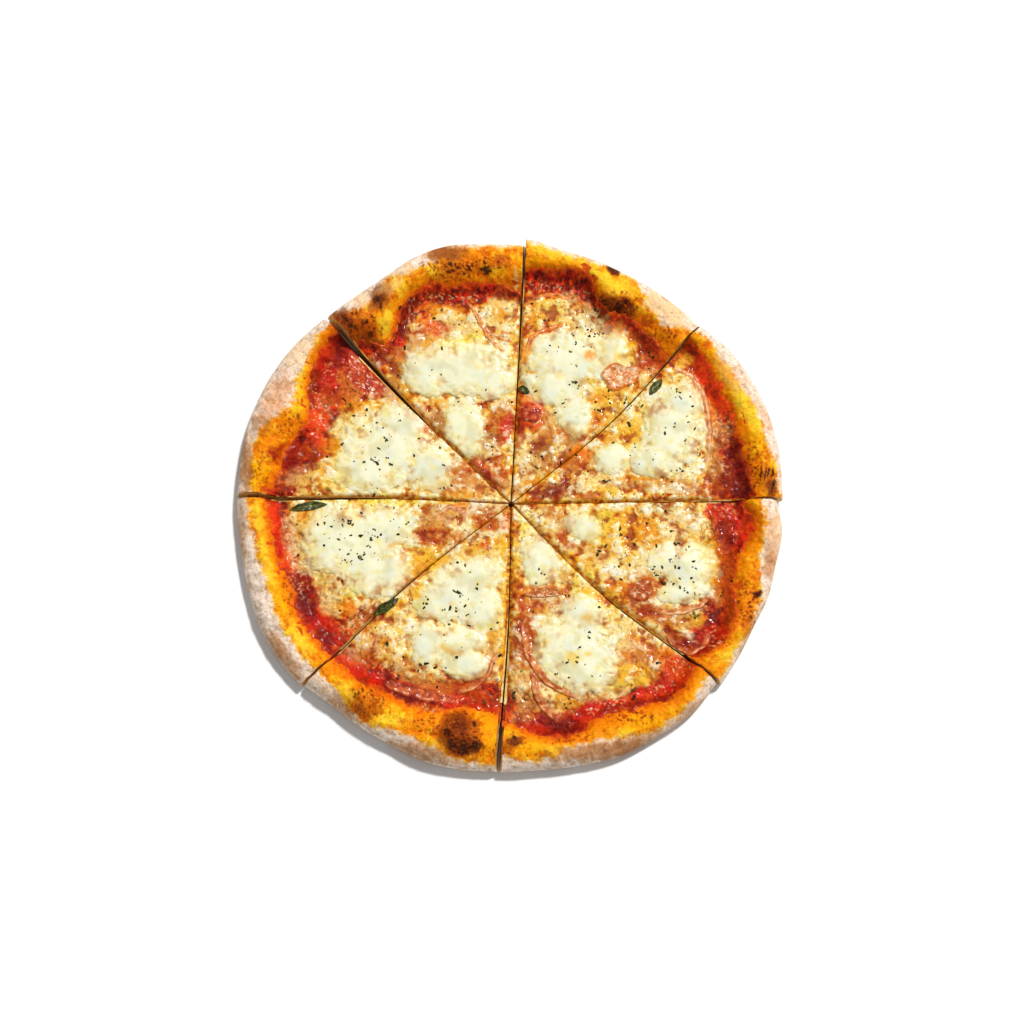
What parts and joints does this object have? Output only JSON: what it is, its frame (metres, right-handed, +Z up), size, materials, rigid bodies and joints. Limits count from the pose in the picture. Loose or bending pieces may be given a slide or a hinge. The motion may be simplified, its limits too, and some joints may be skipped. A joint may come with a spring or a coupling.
{
  "type": "pizza",
  "caption": "Round thin-base pizza cut into slices that lie together, with a puffed floury rim, tomato sauce, melted cheese, mozzarella pools, ham, basil and dried herbs.",
  "frame": {"origin": "on the surface that the pizza rests on, under the middle of its outline", "axes": "+Z up, through the toppings; -Y towards the side that is nearest in the picture"},
  "size_m": [0.3, 0.302, 0.0199],
  "materials": {
    "dough": "baked, floury at the rim",
    "sauce": "wet",
    "cheese": "melted, oily",
    "mozzarella": "melted, smooth",
    "ham": "moist",
    "basil": "wilted",
    "tomato": "wet"
  },
  "bodies": {
    "root": {"basil_1": "basil", "basil_2": "basil", "basil_6a": "basil", "basil_6b": "basil", "ham_1a": "ham", "ham_1b": "ham", "ham_1c": "ham", "ham_2a": "ham", "ham_3a": "ham", "ham_3b": "ham", "ham_3c": "ham", "ham_4a": "ham", "ham_4b": "ham", "ham_4c": "ham", "ham_5a": "ham", "ham_7a": "ham", "ham_8a": "ham", "mozzarella_1a": "mozzarella", "mozzarella_1b": "mozzarella", "mozzarella_2a": "mozzarella", "mozzarella_2b": "mozzarella", "mozzarella_3a": "mozzarella", "mozzarella_3b": "mozzarella", "mozzarella_4a": "mozzarella", "mozzarella_4b": "mozzarella", "mozzarella_5a": "mozzarella", "mozzarella_5b": "mozzarella", "mozzarella_6a": "mozzarella", "mozzarella_7a": "mozzarella", "mozzarella_7b": "mozzarella", "mozzarella_8a": "mozzarella", "mozzarella_8b": "mozzarella", "slice_1_cheese": "cheese", "slice_1_dough": "dough", "slice_1_sauce": "sauce", "slice_2_cheese": "cheese", "slice_2_dough": "dough", "slice_2_sauce": "sauce", "slice_3_cheese": "cheese", "slice_3_dough": "dough", "slice_3_sauce": "sauce", "slice_4_cheese": "cheese", "slice_4_dough": "dough", "slice_4_sauce": "sauce", "slice_5_cheese": "cheese", "slice_5_dough": "dough", "slice_5_sauce": "sauce", "slice_6_cheese": "cheese", "slice_6_dough": "dough", "slice_6_sauce": "sauce", "slice_7_cheese": "cheese", "slice_7_dough": "dough", "slice_7_sauce": "sauce", "slice_8_cheese": "cheese", "slice_8_dough": "dough", "slice_8_sauce": "sauce", "tomato_1": "tomato"}
  },
  "joints": []
}
